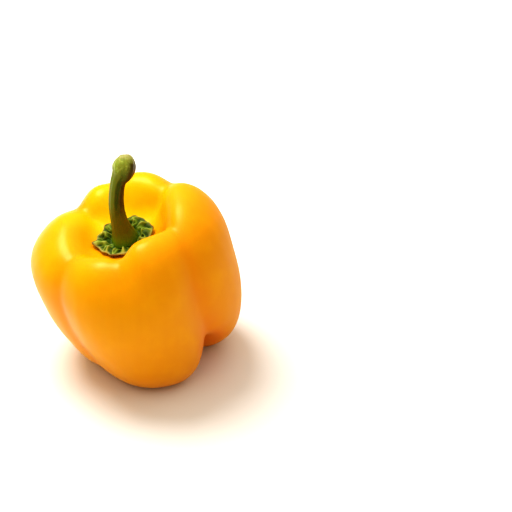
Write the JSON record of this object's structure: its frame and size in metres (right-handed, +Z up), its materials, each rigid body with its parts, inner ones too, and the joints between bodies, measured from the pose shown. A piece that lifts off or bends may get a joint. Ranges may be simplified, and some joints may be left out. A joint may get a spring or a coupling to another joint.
{
  "type": "bell pepper",
  "caption": "Whole yellow bell pepper with blocky lobes, a green calyx in the pit on top and a bent, cut stem, standing on the tips of its lobes.",
  "frame": {"origin": "on the surface it stands on, under the centre of its bounding box", "axes": "+Z up, towards the stem; -Y is the side that faces the camera in the picture, and the top leans towards -X"},
  "size_m": [0.0896, 0.089, 0.0981],
  "materials": {
    "fruit_skin": "waxy, glossy golden-yellow skin, deeper orange in the grooves",
    "calyx": "crumpled dark green with pale veins and a brown edge",
    "stem": "ridged green, pale at its swollen cut end, olive-brown low down"
  },
  "bodies": {
    "root": {"fruit": "fruit_skin", "calyx": "calyx", "stem": "stem"}
  },
  "joints": []
}
